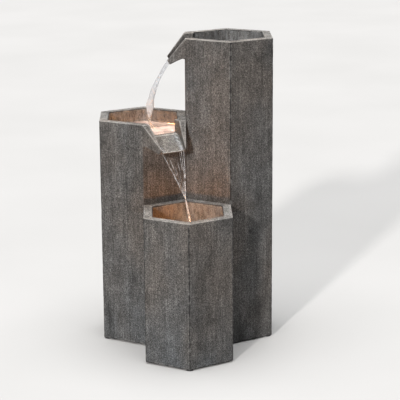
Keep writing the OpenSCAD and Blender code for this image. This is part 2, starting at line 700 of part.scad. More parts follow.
light_h = 10;
light_seal_t = 1;
light_pocket = 3;
board_z = 4.5;
module light_housing() difference() {
    cylinder(r = light_r, h = light_h);
    translate([0, 0, light_pocket]) cylinder(r = light_r - 2.5, h = light_h);
    translate([0, 0, -1]) cylinder(r = 8, h = 3.2);
    translate([0, 0, -1]) cylinder(r = lead_d / 2, h = light_pocket + 2);
}
module light_board() {
    translate([0, 0, board_z]) cylinder(r = light_r - 2.6, h = 1.6);
    for (k = [0 : 2]) rotate([0, 0, k * 120]) translate([7, 0, board_z + 1.6]) {
        translate([-2.5, -2.5, -eps]) cube([5, 5, 1.2]);
        translate([0, 0, 1.1]) cylinder(r = 1.9, h = 1);
    }
}
module light_seal() tube_z(light_r, light_r - 2.5, light_h, light_h + light_seal_t);
module light_lens() translate([0, 0, light_h + light_seal_t]) rotate_extrude()
    polygon([[0, 2.6], [8, 2.2], [12.8, 0], [light_r, 0], [light_r, 1.6], [13, 2.6], [8, 4], [0, 4.6]]);

module at_low_light() at_face(low_c, 0) translate([0, 0, tray_z - 0.5]) children();
module at_mid_light() at_face(mid_c, 0) translate([0, 0, mid_floor_z]) children();
module low_light_housing() color(black_plastic) at_low_light() light_housing();
module low_light_board() color([0.9, 0.9, 0.85]) at_low_light() light_board();
module low_light_seal() color(black_rubber) at_low_light() light_seal();
module low_light_lens() color([1, 0.85, 0.6, 0.6]) at_low_light() light_lens();
module middle_light_housing() color(black_plastic) at_mid_light() light_housing();
module middle_light_board() color([0.9, 0.9, 0.85]) at_mid_light() light_board();
module middle_light_seal() color(black_rubber) at_mid_light() light_seal();
module middle_light_lens() color([1, 0.85, 0.6, 0.6]) at_mid_light() light_lens();

// ---------- junction box, with its open side to -X ----------

screw_inset = 3.2;
module at_box() translate([box_x, box_y, box_z]) children();
module junction_box() color([0.2, 0.2, 0.21]) at_box() difference() {
    cube(box_size);
    translate([-1, 6, 2]) cube([box_size[0] - 1, box_size[1] - 12, box_size[2] - 4]);
    for (x = [5, 12.5]) translate([x, -1, 18]) rotate([-90, 0, 0]) cylinder(r = lead_d / 2, h = 8);
    translate([9, 26, box_size[2] - 3]) cylinder(r = lead_d / 2, h = 4);
    translate([9, box_size[1] - 7, 10]) rotate([-90, 0, 0]) cylinder(r = cord_r + 0.2, h = 8);
    for (y = [screw_inset, box_size[1] - screw_inset], z = [screw_inset, box_size[2] - screw_inset])
        bar_x(1.2, -1, 10, y, z);
}
module junction_lid() color([0.24, 0.24, 0.25]) at_box() difference() {
    translate([-box_lid_t, 0, 0]) cube([box_lid_t, box_size[1], box_size[2]]);
    for (y = [screw_inset, box_size[1] - screw_inset], z = [screw_inset, box_size[2] - screw_inset])
        bar_x(1.5, -box_lid_t - 1, 1, y, z);
}
module junction_screws() color(steel) at_box()
    for (y = [screw_inset, box_size[1] - screw_inset], z = [screw_inset, box_size[2] - screw_inset]) {
        bar_x(1.2, -box_lid_t - eps, 8, y, z);
        bar_x(2.6, -box_lid_t - 1.6, -box_lid_t, y, z);
    }
module terminal_block() color([0.9, 0.9, 0.88]) at_box() difference() {
    translate([5, 10, 6]) cube([8, 12, 22]);
    for (z = [10, 17, 24]) translate([9, 9, z]) rotate([-90, 0, 0]) cylinder(r = 1.4, h = 14);
    for (z = [10, 17, 24], y = [13, 19]) bar_x(1.3, 4, 9, y, z);
}

tall_column();
middle_column();
low_column();
tall_basin_floor();
middle_basin_floor();
pump_tray();
light_bracket();
rubber_feet();
column_bolts();
column_nuts();
bolt_washers();
bolt_seals();
service_frame();
service_cover();
gland_body();
gland_nut();
gland_seal();
gland_cap();
outlet_fitting();
outlet_nut();
outlet_gasket();
riser_hose();
hose_grommet();
hose_clamps();
pump_housing();
stator_core();
stator_coil();
volute_cover();
impeller();
rotor_magnet();
impeller_shaft();
shaft_bushes();
intake_foam();
intake_cover();
flow_dial();
suction_cups();
pump_lead_boot();
pump_lead();
lead_grommet();
low_light_housing();
low_light_board();
low_light_seal();
low_light_lens();
low_light_lead();
middle_light_housing();
middle_light_board();
middle_light_seal();
middle_light_lens();
middle_light_lead();
middle_floor_grommet();
middle_wall_grommet();
junction_box();
junction_lid();
junction_screws();
terminal_block();
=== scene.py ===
"""Looks of a three-tier fountain of hexagonal stone columns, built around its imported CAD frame."""

import json
import math
import random

import bmesh
import bpy
from mathutils import Matrix, Vector, noise
from mathutils.kdtree import KDTree


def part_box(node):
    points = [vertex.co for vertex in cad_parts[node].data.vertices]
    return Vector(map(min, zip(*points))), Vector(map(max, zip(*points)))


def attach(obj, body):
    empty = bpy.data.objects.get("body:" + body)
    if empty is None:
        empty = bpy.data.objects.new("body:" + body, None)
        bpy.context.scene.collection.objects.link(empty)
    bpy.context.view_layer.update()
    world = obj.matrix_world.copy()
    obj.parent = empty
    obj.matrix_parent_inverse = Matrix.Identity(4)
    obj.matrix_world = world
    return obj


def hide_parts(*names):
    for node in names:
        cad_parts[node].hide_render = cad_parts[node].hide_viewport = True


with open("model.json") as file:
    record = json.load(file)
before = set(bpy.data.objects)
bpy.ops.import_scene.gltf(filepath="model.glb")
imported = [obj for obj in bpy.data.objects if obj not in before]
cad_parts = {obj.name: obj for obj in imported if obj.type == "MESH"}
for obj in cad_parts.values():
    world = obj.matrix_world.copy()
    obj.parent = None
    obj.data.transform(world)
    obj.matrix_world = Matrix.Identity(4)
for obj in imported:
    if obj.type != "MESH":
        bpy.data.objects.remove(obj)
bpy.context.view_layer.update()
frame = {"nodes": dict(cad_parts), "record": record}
nodes = frame["nodes"]
slot_of = {part["node"]: part["material_slot"] for part in frame["record"]["subparts"]}

MM = 0.001
UP = Vector((0, 0, 1))


# ---------- places, all from the frame ----------

def heading(degrees):
    """A level direction, by its angle from +X."""
    return Vector((math.cos(math.radians(degrees)), math.sin(math.radians(degrees)), 0))


def smooth(x):
    """0 below 0, 1 above 1 and an easy curve between."""
    x = max(0.0, min(1.0, x))
    return x * x * (3 - 2 * x)


def ease(start, stop, x):
    """Goes smoothly from start to stop as x goes from 0 to 1."""
    return start + (stop - start) * smooth(x)


def bell(x, centre, width):
    """1 at the centre, falling away smoothly on both sides."""
    return math.exp(-((x - centre) / width) ** 2)


low_lo, low_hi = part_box("low_column")
mid_lo, mid_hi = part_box("middle_column")
tall_lo, tall_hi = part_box("tall_column")
WIDTH = low_hi.x - low_lo.x
CORNER = WIDTH / math.sqrt(3)
LOW = Vector(((low_lo.x + low_hi.x) / 2, (low_lo.y + low_hi.y) / 2, 0))
MID = Vector((mid_lo.x + WIDTH / 2, mid_hi.y - CORNER, 0))
TALL = Vector((tall_hi.x - WIDTH / 2, tall_hi.y - CORNER, 0))
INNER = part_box("tall_basin_floor")[1].x - TALL.x

# Each spout: its column's axis, its direction and the height of its rim
SPOUTS = {
    "tall": (TALL, heading(180), tall_hi.z),
    "middle": (MID, heading(-60), mid_hi.z),
}
SPOUT_REACH = TALL.x - WIDTH / 2 - tall_lo.x
# The overflow edge and the lip: how far out from the column's face, and how far below the rim
WEIR_U = -5.75 * MM
LIP_U = SPOUT_REACH - 2 * MM
WEIR_DROP = 18.5 * MM
LIP_DROP = {"tall": 32.9 * MM, "middle": 34.6 * MM}
# Half the channel's width at the rim and at the lip
NOTCH_HALF = 22 * MM
LIP_HALF = 17.4 * MM
# The water: how deep it runs over the overflow edges, and the height of each pool's surface
OVERFLOW = 1.6 * MM
LEVELS = {
    "tall": tall_hi.z - WEIR_DROP + OVERFLOW,
    "middle": mid_hi.z - WEIR_DROP + OVERFLOW,
    "low": low_hi.z - 37 * MM,
}


def chute_floor(which, along):
    """Height of a spout's channel at a distance out from the column's face."""
    slope = (LIP_DROP[which] - WEIR_DROP) / (LIP_U - WEIR_U)
    return SPOUTS[which][2] - WEIR_DROP - max(0.0, along - WEIR_U) * slope


# Each fall: how far it leans out for each metre down, how that lessens, and the pool below
LEAN = {"tall": 0.70, "middle": 0.64}
CURVE = {"tall": 4.6, "middle": 1.8}
BELOW = {"tall": "middle", "middle": "low"}


def fall_path(which, steps):
    """Points of a fall from a spout's lip to the pool below, leaning out and then steepening."""
    centre, out, _ = SPOUTS[which]
    start = centre + out * (WIDTH / 2 + LIP_U) + UP * chute_floor(which, LIP_U)
    depth = start.z - LEVELS[BELOW[which]]
    drops = [depth * k / steps for k in range(steps + 1)]
    return [start + out * (LEAN[which] * drop - CURVE[which] * drop ** 2) - UP * drop for drop in drops]


LOW_ENTRY = fall_path("middle", 1)[-1]


# ---------- camera, light and floor ----------

CAMERA_PITCH = math.radians(14.70)
CAMERA_YAW = math.radians(0.91)
CAMERA_ROLL = math.radians(-0.54)
CAMERA_DISTANCE = 17.87 * WIDTH
CAMERA_LENS = 137.3
CAMERA_SHIFT = (0.0328, 0.0203)
CAMERA_AIM = LOW + Vector((0, 0.577 * WIDTH, 1.6 * WIDTH))


def add_camera():
    """The camera, a little above the rims and looking down on them."""
    ahead = Vector((math.sin(CAMERA_YAW), math.cos(CAMERA_YAW), 0))
    forward = ahead * math.cos(CAMERA_PITCH) - UP * math.sin(CAMERA_PITCH)
    level = Vector((math.cos(CAMERA_YAW), -math.sin(CAMERA_YAW), 0))
    above = level.cross(forward)
    right = math.cos(CAMERA_ROLL) * level + math.sin(CAMERA_ROLL) * above
    top = math.cos(CAMERA_ROLL) * above - math.sin(CAMERA_ROLL) * level
    data = bpy.data.cameras.new("camera")
    data.lens = CAMERA_LENS
    data.shift_x, data.shift_y = CAMERA_SHIFT
    data.clip_end = 60
    camera = bpy.data.objects.new("camera", data)
    turn = Matrix((right, top, -forward)).transposed().to_4x4()
    camera.matrix_world = Matrix.Translation(CAMERA_AIM - CAMERA_DISTANCE * forward) @ turn
    bpy.context.scene.collection.objects.link(camera)
    bpy.context.scene.camera = camera


def add_light(name, kind, place, energy, colour, target=None, **settings):
    """A light at a place, turned to its target if it has one."""
    data = bpy.data.lights.new(name, kind)
    data.energy = energy
    data.color = colour
    for key, value in settings.items():
        setattr(data, key, value)
    light = bpy.data.objects.new(name, data)
    light.location = place
    if target is not None:
        light.rotation_euler = (target - place).to_track_quat("-Z", "Y").to_euler()
    bpy.context.scene.collection.objects.link(light)
    return light


SUN_TARGET = Vector((0, 0, 0.2))
SUN_DISTANCE = 2
KEY_AZIMUTH = -114.4
KEY_HEIGHT = math.radians(18)
KEY_PLACE = heading(KEY_AZIMUTH) * math.cos(KEY_HEIGHT) + UP * math.sin(KEY_HEIGHT)


def add_studio():
    """A dim sky, a low key sun from the left, and a broad soft one from above."""
    scene = bpy.context.scene
    scene.view_settings.view_transform = "Standard"
    world = bpy.data.worlds.new("studio")
    world.use_nodes = True
    background = world.node_tree.nodes["Background"]
    background.inputs["Color"].default_value = (0.93, 0.96, 1.0, 1)
    background.inputs["Strength"].default_value = 0.14
    scene.world = world
    add_light("key", "SUN", SUN_TARGET + SUN_DISTANCE * KEY_PLACE, 2.9, (1.0, 0.97, 0.94),
              SUN_TARGET, angle=math.radians(4))
    add_light("top", "SUN", SUN_TARGET + SUN_DISTANCE * UP, 3.6, (1.0, 0.995, 0.99),
              SUN_TARGET, angle=math.radians(60))


def add_floor():
    """A plain pale floor that reaches past the camera's view."""
    mesh = bpy.data.meshes.new("floor")
    mesh.from_pydata([(-12, -6, 0), (12, -6, 0), (12, 18, 0), (-12, 18, 0)], [], [(0, 1, 2, 3)])
    floor = bpy.data.objects.new("floor", mesh)
    bpy.context.scene.collection.objects.link(floor)
    paint = Paint("floor")
    tone = paint.noise(paint.place(), 3.0, detail=2)
    paint.colour(paint.ramp(tone, [(0.3, (0.56, 0.557, 0.55)), (0.7, (0.59, 0.586, 0.58))]))
    paint.set("Roughness", 0.8)
    mesh.materials.append(paint.material)


# ---------- materials ----------

class Paint:
    """A procedural material, with short calls for the nodes that the materials below share."""

    def __init__(self, name):
        self.material = bpy.data.materials.new(name)
        self.material.use_nodes = True
        self.tree = self.material.node_tree
        self.shader = self.tree.nodes["Principled BSDF"]
        self.output = self.tree.nodes["Material Output"]

    def add(self, kind, inputs=(), **settings):
        node = self.tree.nodes.new(kind)
        for key, value in settings.items():
            setattr(node, key, value)
        for key, value in dict(inputs).items():
            self.feed(node.inputs[key], value)
        return node

    def feed(self, socket, value):
        if isinstance(value, bpy.types.NodeSocket):
            self.tree.links.new(value, socket)
        elif isinstance(value, (tuple, list)) and len(value) == 3 and len(socket.default_value) == 4:
            socket.default_value = (*value, 1)
        else:
            socket.default_value = value

    def set(self, name, value):
        self.feed(self.shader.inputs[name], value)

    def colour(self, value):
        self.set("Base Color", value)

    def place(self, scale=(1, 1, 1)):
        """The point on the object in metres, stretched."""
        where = self.add("ShaderNodeTexCoord").outputs["Object"]
        return self.add("ShaderNodeMapping", {"Vector": where, "Scale": scale}).outputs["Vector"]

    def noise(self, vector, scale, detail=4.0, roughness=0.5):
        return self.add("ShaderNodeTexNoise", {"Vector": vector, "Scale": scale, "Detail": detail,
                                               "Roughness": roughness}).outputs["Fac"]

    def cells(self, vector, scale, **settings):
        return self.add("ShaderNodeTexVoronoi", {"Vector": vector, "Scale": scale},
                        **settings).outputs["Distance"]

    def wave(self, vector, scale, distortion=0.0, **settings):
        return self.add("ShaderNodeTexWave", {"Vector": vector, "Scale": scale,
                                              "Distortion": distortion}, **settings).outputs["Fac"]

    def ramp(self, factor, stops):
        node = self.add("ShaderNodeValToRGB", {"Fac": factor})
        ramp = node.color_ramp
        while len(ramp.elements) < len(stops):
            ramp.elements.new(0.5)
        for element, (position, value) in zip(ramp.elements, stops):
            element.position = position
            element.color = (*value, 1) if isinstance(value, tuple) else (value, value, value, 1)
        return node.outputs["Color"]

    def mix(self, factor, a, b, blend="MIX"):
        node = self.add("ShaderNodeMix", data_type="RGBA", blend_type=blend)
        self.feed(node.inputs["Factor"], factor)
        self.feed(node.inputs[6], a)
        self.feed(node.inputs[7], b)
        return node.outputs[2]

    def shaders(self, factor, a, b):
        """A mix of two shaders."""
        node = self.add("ShaderNodeMixShader", {"Fac": factor})
        self.tree.links.new(a, node.inputs[1])
        self.tree.links.new(b, node.inputs[2])
        return node.outputs[0]

    def product(self, a, b, clamp=False):
        return self.add("ShaderNodeMath", {0: a, 1: b}, operation="MULTIPLY", use_clamp=clamp).outputs[0]

    def blend_all(self, parts):
        """The sum of values, each times its weight."""
        total = 0.0
        for value, weight in parts:
            total = self.add("ShaderNodeMath", {0: value, 1: weight, 2: total},
                             operation="MULTIPLY_ADD").outputs[0]
        return total

    def span(self, value, low, high, to_low=0.0, to_high=1.0):
        """A value's place between low and high, as a value between to_low and to_high."""
        return self.add("ShaderNodeMapRange", {"Value": value, "From Min": low, "From Max": high,
                                               "To Min": to_low, "To Max": to_high}).outputs["Result"]

    def height(self, vector):
        return self.add("ShaderNodeSeparateXYZ", {0: vector}).outputs["Z"]

    def upward(self):
        """How far the surface looks up, from -1 to 1."""
        return self.height(self.add("ShaderNodeTexCoord").outputs["Normal"])

    def attribute(self, name):
        return self.add("ShaderNodeAttribute", attribute_name=name).outputs["Fac"]

    def bump(self, height, strength, distance, under=None):
        inputs = {"Height": height, "Strength": strength, "Distance": distance}
        if under is not None:
            inputs["Normal"] = under
        return self.add("ShaderNodeBump", inputs).outputs["Normal"]


def times(colour, factor):
    """A colour made lighter or darker."""
    return tuple(min(1.0, c * factor) for c in colour)


# The stone's colours: its grain from dark to light, and what covers it
STONE_TINTS = ((0.020, 0.018, 0.017), (0.070, 0.0650, 0.0615), (0.228, 0.216, 0.204))
PIT = (0.012, 0.011, 0.011)
LIME = (0.20, 0.205, 0.21)
WORN_AND_HIGHLIT_STONE = (0.62, 0.595, 0.565)
RUBBED_STONE = (0.24, 0.235, 0.225)
SOILED_STONE = (0.014, 0.013, 0.013)
# What multiplies them at the damp foot, where water splashes (a brown stain that above the low basin also
# holds painted lamp glow), and on faces that look up (paler, bleached stone and painted top light)
DAMP_TINT = (0.87, 0.97, 1.06)
STAIN_AND_GLOW_TINT = (0.72, 0.52, 0.38)
BLEACH_AND_TOP_LIGHT_TINT = (3.0, 2.95, 2.84)


def weathered(p, base, here):
    """Patches of hue, a damp foot, stains, pits, lime in the basins, splashes with painted lamp glow, and
    tops made paler by bleaching and by painted top light.
    """
    cloud = p.noise(p.place((1, 1, 0.5)), 15, 3, 0.5)
    hue = p.ramp(cloud, [(0.38, (0.94, 0.985, 1.025)), (0.50, (1.0, 1.0, 1.0)),
                         (0.62, (1.045, 0.99, 0.945))])
    base = p.mix(1.0, base, hue, "MULTIPLY")
    damp = p.span(p.height(here), 0.10, 0.01, 0.0, 0.75)
    base = p.mix(damp, base, DAMP_TINT, "MULTIPLY")
    stain = p.ramp(p.noise(p.place((1, 1, 0.6)), 23, 4, 0.62), [(0.54, 1.0), (0.66, 0.62)])
    base = p.mix(1.0, base, stain, "MULTIPLY")
    pit = p.span(p.cells(here, 26), 0.035, 0.075, 0.75, 0.0)
    base = p.mix(pit, base, PIT)
    crust = p.noise(p.place((1, 1, 0.35)), 190, 4, 0.65)
    lime = p.product(p.attribute("inside"), p.span(crust, 0.40, 0.62, 0.0, 0.48))
    base = p.mix(lime, base, LIME)
    # Brown stain where the water splashes; on the faces above the low basin it also stands for painted warm
    # lamp glow.
    stain_and_glow = p.product(p.attribute("stain_and_glow_mark"), p.span(crust, 0.35, 0.65, 0.5, 1.0))
    base = p.mix(stain_and_glow, base, STAIN_AND_GLOW_TINT, "MULTIPLY")
    # Faces that look up get up to three times lighter: partly bleached stone, partly painted top light; less
    # so on the chute floors.
    bleach_and_top_light = p.product(p.span(p.upward(), 0.40, 0.95), p.span(p.attribute("channel"), 0, 1, 1.0, 0.55))
    return p.mix(bleach_and_top_light, base, BLEACH_AND_TOP_LIGHT_TINT, "MULTIPLY")


def edge_wear(p, base, here, shade):
    """Marked edges: pale where they are worn, which where the bevel looks up is also a painted highlight,
    and dark with rubbed spots where they are soiled.
    """
    patchy = p.noise(here, 160, 3)
    edge = p.attribute("edge")
    worn_and_highlit = p.product(p.span(edge, 0, 1), p.span(patchy, 0.38, 0.62, 0.45, 1.0))
    # Only the part of the bevel that looks up is pale: a painted highlight of the top light on top of the
    # wear.
    worn_and_highlit = p.product(worn_and_highlit, p.span(p.upward(), 0.25, 0.80, 0.12, 1.0))
    base = p.mix(worn_and_highlit, base, times(WORN_AND_HIGHLIT_STONE, shade))
    rubbed = p.product(p.span(edge, -0.08, -0.30), p.span(patchy, 0.48, 0.62, 0.0, 0.45))
    base = p.mix(rubbed, base, times(RUBBED_STONE, shade))
    soiled = p.product(p.span(edge, -0.47, -0.62), p.span(patchy, 0.46, 0.62, 0.95, 0.50))
    return p.mix(soiled, base, times(SOILED_STONE, shade))


def stone(name, shade=1.0):
    """Weathered cast stone: fine grain with faint upright board marks, coarser mottling and pits."""
    p = Paint(name)
    here = p.place()
    grain = p.noise(p.place((1, 1, 0.42)), 880, 2, 0.7)
    speck = p.noise(here, 820, 2, 0.75)
    board = p.noise(p.place((1, 1, 0.03)), 560, 2, 0.6)
    wide = p.noise(p.place((1, 1, 0.25)), 110, 4, 0.6)
    mottle = p.noise(here, 42, 6, 0.62)
    tone = p.blend_all([(grain, 0.22), (speck, 0.58), (board, 0.14), (wide, 0.13), (mottle, 0.18)])
    dark, middling, light = (times(tint, shade) for tint in STONE_TINTS)
    base = p.ramp(tone, [(0.505, dark), (0.625, middling), (0.775, light)])
    p.colour(edge_wear(p, weathered(p, base, here), here, shade))
    p.set("Roughness", p.span(mottle, 0.3, 0.7, 0.72, 0.92))
    p.set("Specular IOR Level", 0.35)
    lines = p.bump(grain, 0.5, 0.0008)
    pits = p.bump(p.span(p.cells(here, 260), 0.05, 0.30), 0.35, 0.0006, lines)
    rough = p.bump(speck, 0.8, 0.0008, pits)
    p.set("Normal", p.bump(wide, 0.3, 0.0010, rough))
    return p.material


FROTH_AND_GLINT_WHITE = (0.60, 0.61, 0.63)


def water(name, flow=(1, 1, 1), painted_glow=0.0):
    """Clear water that lamps shine through, whitened where its points say so: by air in froth, and on the
    falls by painted glints; it can also glow, as painted light.
    """
    p = Paint(name)
    p.colour((0.97, 0.985, 0.99))
    p.set("Transmission Weight", 1.0)
    p.set("IOR", 1.333)
    p.set("Roughness", 0.03)
    p.set("Normal", p.bump(p.noise(p.place(flow), 260, 2, 0.5), 0.2, 0.0005))
    if painted_glow:
        # Painted glow: the pink-amber light of the lamp below and warm reflections on the surface, given as
        # emission.
        p.set("Emission Color", (1.0, 0.70, 0.58))
        p.set("Emission Strength", p.span(p.noise(p.place(), 48, 3, 0.55), 0.36, 0.56, 0.35 * painted_glow, painted_glow))
    through = p.add("ShaderNodeBsdfTranslucent", {"Color": FROTH_AND_GLINT_WHITE}).outputs[0]
    back = p.add("ShaderNodeBsdfDiffuse", {"Color": FROTH_AND_GLINT_WHITE}).outputs[0]
    share = p.span(p.noise(p.place(flow), 330, 3, 0.6), 0.36, 0.60, 0.35, 1.0)
    air = p.product(share, p.attribute("air"), clamp=True)
    body = p.shaders(air, p.shader.outputs[0], p.shaders(0.6, through, back))
    clear = p.add("ShaderNodeBsdfTransparent", {"Color": (0.96, 0.98, 0.98)}).outputs[0]
    in_shadow = p.add("ShaderNodeLightPath").outputs["Is Shadow Ray"]
    p.tree.links.new(p.shaders(in_shadow, body, clear), p.output.inputs["Surface"])
    return p.material


def plastic(name, colour, gloss=0.45):
    """Moulded plastic with a fine spark-eroded texture and faint handling marks."""
    p = Paint(name)
    here = p.place()
    haze = p.noise(here, 60, 4)
    p.colour(p.ramp(haze, [(0.3, times(colour, 0.82)), (0.7, times(colour, 1.2))]))
    p.set("Roughness", p.span(haze, 0.3, 0.7, gloss - 0.07, gloss + 0.1))
    p.set("Normal", p.bump(p.noise(here, 1800, 2), 0.35, 0.0002))
    return p.material


def rubber(name, colour):
    """Matt moulded rubber with a dusty bloom."""
    p = Paint(name)
    here = p.place()
    bloom = p.noise(here, 140, 5, 0.65)
    p.colour(p.ramp(bloom, [(0.35, colour), (0.75, times(colour, 1.9))]))
    p.set("Roughness", p.span(bloom, 0.3, 0.7, 0.62, 0.88))
    p.set("Normal", p.bump(p.noise(here, 1500, 2), 0.3, 0.0002))
    return p.material


def metal(name, colour, lines, gloss=0.3):
    """Drawn or cold-formed metal with fine lines across it."""
    p = Paint(name)
    drawn = p.noise(p.place(lines), 900, 3)
    p.colour(p.ramp(drawn, [(0.3, times(colour, 0.8)), (0.7, times(colour, 1.15))]))
    p.set("Metallic", 1.0)
    p.set("Roughness", p.span(drawn, 0.3, 0.7, gloss - 0.06, gloss + 0.12))
    p.set("Normal", p.bump(drawn, 0.2, 0.0002))
    return p.material


def winding(name):
    """Enamelled copper wire laid turn beside turn, with painted shade in the grooves between turns."""
    p = Paint(name)
    turns = p.wave(p.place((0, 0, 1)), 1300, 0.6, bands_direction="Z")
    # Darker in the grooves between turns: painted shade.
    p.colour(p.ramp(turns, [(0.0, (0.16, 0.045, 0.015)), (0.6, (0.62, 0.25, 0.10))]))
    p.set("Metallic", 0.75)
    p.set("Roughness", p.span(turns, 0, 1, 0.5, 0.28))
    p.set("Normal", p.bump(turns, 0.7, 0.0004))
    return p.material


def laminations(name):
    """Edges of stacked electrical steel sheets."""
    p = Paint(name)
    sheets = p.wave(p.place((1, 0, 0)), 620, 0.2, bands_direction="X")
    rust = p.noise(p.place(), 300, 4)
    tone = p.ramp(sheets, [(0.1, (0.10, 0.10, 0.105)), (0.7, (0.34, 0.34, 0.35))])
    p.colour(p.mix(p.span(rust, 0.58, 0.72), tone, (0.20, 0.11, 0.06)))
    p.set("Metallic", 0.85)
    p.set("Roughness", p.span(rust, 0.3, 0.7, 0.38, 0.62))
    p.set("Normal", p.bump(sheets, 0.5, 0.0003))
    return p.material


def vinyl(name):
    """Milky flexible tube."""
    p = Paint(name)
    haze = p.noise(p.place((1, 1, 0.2)), 120, 4)
    p.colour(p.ramp(haze, [(0.3, (0.56, 0.60, 0.57)), (0.7, (0.76, 0.79, 0.75))]))
    p.set("Roughness", p.span(haze, 0.3, 0.7, 0.18, 0.34))
    p.set("Transmission Weight", 0.25)
    p.set("Normal", p.bump(haze, 0.15, 0.0004))
    return p.material


def sponge(name):
    """Open-cell filter foam, with painted shade in its pores."""
    p = Paint(name)
    pores = p.cells(p.place(), 620)
    # Dark at the pore centres: painted shade in the holes.
    p.colour(p.ramp(pores, [(0.1, (0.012, 0.013, 0.014)), (0.55, (0.11, 0.115, 0.12))]))
    p.set("Roughness", p.span(pores, 0, 1, 0.85, 1.0))
    p.set("Normal", p.bump(pores, 1.0, 0.0012))
    return p.material


def fired(name, colour, gloss):
    """Ground or polished ceramic."""
    p = Paint(name)
    ground = p.noise(p.place((1, 1, 3)), 1100, 3)
    p.colour(p.ramp(ground, [(0.3, times(colour, 0.86)), (0.7, colour)]))
    p.set("Roughness", p.span(ground, 0.3, 0.7, gloss, gloss + 0.15))
    p.set("Normal", p.bump(ground, 0.15, 0.0001))
    return p.material


def circuit(name):
    """White solder mask with faint traces, glowing amber all over: the lamps on it glow, and the mask around
    them glows with them as painted light.
    """
    p = Paint(name)
    traces = p.cells(p.place(), 260, distance="CHEBYCHEV", feature="F1")
    p.colour(p.ramp(traces, [(0.42, (0.82, 0.78, 0.68)), (0.46, (0.66, 0.60, 0.48))]))
    p.set("Roughness", p.span(traces, 0, 1, 0.35, 0.5))
    # The whole board emits: the lamps' own light, and painted glow on the mask.
    p.set("Emission Color", (1.0, 0.62, 0.26))
    p.set("Emission Strength", 1.5)
    return p.material


def lens(name):
    """Frosted amber lens, lit from behind."""
    p = Paint(name)
    frost = p.noise(p.place(), 900, 3)
    p.colour(p.ramp(frost, [(0.3, (0.62, 0.42, 0.20)), (0.7, (0.72, 0.54, 0.32))]))
    p.set("Roughness", p.span(frost, 0.3, 0.7, 0.25, 0.4))
    p.set("Transmission Weight", 0.6)
    p.set("Emission Color", (1.0, 0.60, 0.24))
    p.set("Emission Strength", 1.0)
    p.set("Normal", p.bump(frost, 0.3, 0.0003))
    return p.material


def make_finishes():
    """One material for each slot of the record."""
    return {
        "cast_stone": stone("cast_stone"),
        "floor_stone": stone("floor_stone", 0.85),
        "black_plastic": plastic("black_plastic", (0.030, 0.030, 0.033)),
        "grey_plastic": plastic("grey_plastic", (0.13, 0.13, 0.135), 0.5),
        "black_rubber": rubber("black_rubber", (0.018, 0.018, 0.019)),
        "stainless": metal("stainless", (0.62, 0.61, 0.59), (1, 1, 0.2)),
        "core_steel": laminations("core_steel"),
        "copper_winding": winding("copper_winding"),
        "vinyl_hose": vinyl("vinyl_hose"),
        "impeller_plastic": plastic("impeller_plastic", (0.60, 0.58, 0.52), 0.35),
        "ferrite": fired("ferrite", (0.07, 0.07, 0.075), 0.45),
        "white_ceramic": fired("white_ceramic", (0.82, 0.81, 0.77), 0.12),
        "foam": sponge("foam"),
        "dial_plastic": plastic("dial_plastic", (0.05, 0.16, 0.34), 0.25),
        "circuit_board": circuit("circuit_board"),
        "lens": lens("lens"),
        "lead_jacket": rubber("lead_jacket", (0.014, 0.014, 0.015)),
        "terminal_white": plastic("terminal_white", (0.70, 0.69, 0.65), 0.4),
    }


def dress_nodes(finishes):
    """Gives every CAD node the finish of its slot."""
    for name, obj in nodes.items():
        obj.data.materials.clear()
        obj.data.materials.append(finishes[slot_of[name]])


# ---------- castings ----------

# The size of the cells that a casting's faces are cut into before they are made uneven
CUT_STEP = 12 * MM
# Sharp edges: the least angle and length, and how far they are bevelled
SHARP = math.radians(20)
SHORTEST = 7 * MM
BEVEL = 0.8 * MM
# Looks of edges: how wide worn, sloping and soiled ones show, and the height under which none are worn
WORN = 0.6 * MM
WORN_SLOPE = 2.2 * MM
SOILED = 1.3 * MM
WORN_ABOVE = 20 * MM
# How near an edge the face is flat, and how near it can be chipped
FLAT_BAND = 6 * MM
CHIP_BAND = 5 * MM
# How far from the lower fall's foot the stain with painted lamp glow reaches
STAIN_AND_GLOW_REACH = 92 * MM
CHANNEL_START = -14 * MM
# Faces thinner than this are dissolved
SLIVER = 0.01 * MM
RIMS = ((LOW, low_hi.z), (MID, mid_hi.z), (TALL, tall_hi.z))
JOINT = (TALL - MID).length - WIDTH


def new_object(name, bm, material):
    """A smooth-shaded piece of the fountain."""
    mesh = bpy.data.meshes.new(name)
    bm.to_mesh(mesh)
    bm.free()
    obj = bpy.data.objects.new(name, mesh)
    bpy.context.scene.collection.objects.link(obj)
    mesh.materials.append(material)
    mesh.polygons.foreach_set("use_smooth", [True] * len(mesh.polygons))
    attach(obj, "fountain")
    return obj


def clean_copy(node):
    """The CAD node's mesh with whole flat faces."""
    bm = bmesh.new()
    bm.from_mesh(nodes[node].data)
    bmesh.ops.remove_doubles(bm, verts=bm.verts, dist=3e-6)
    bmesh.ops.dissolve_limit(bm, angle_limit=math.radians(0.5), verts=bm.verts, edges=bm.edges)
    bmesh.ops.dissolve_degenerate(bm, dist=SLIVER, edges=bm.edges)
    return bm


def in_joint(point, centre):
    """True where a column stands against a neighbour, below the neighbour's rim."""
    return any(point.z < top + MM and (point - axis).to_2d().length < CORNER + 1.5 * MM
               for axis, top in RIMS if axis != centre)


def outer_edges(bm, centre):
    """Sharp convex edges that are long enough to see and not hidden in a joint between columns."""
    return [e for e in bm.edges
            if e.is_manifold and e.calc_length() > SHORTEST and e.calc_face_angle_signed(0) > SHARP
            and not in_joint((e.verts[0].co + e.verts[1].co) / 2, centre)]


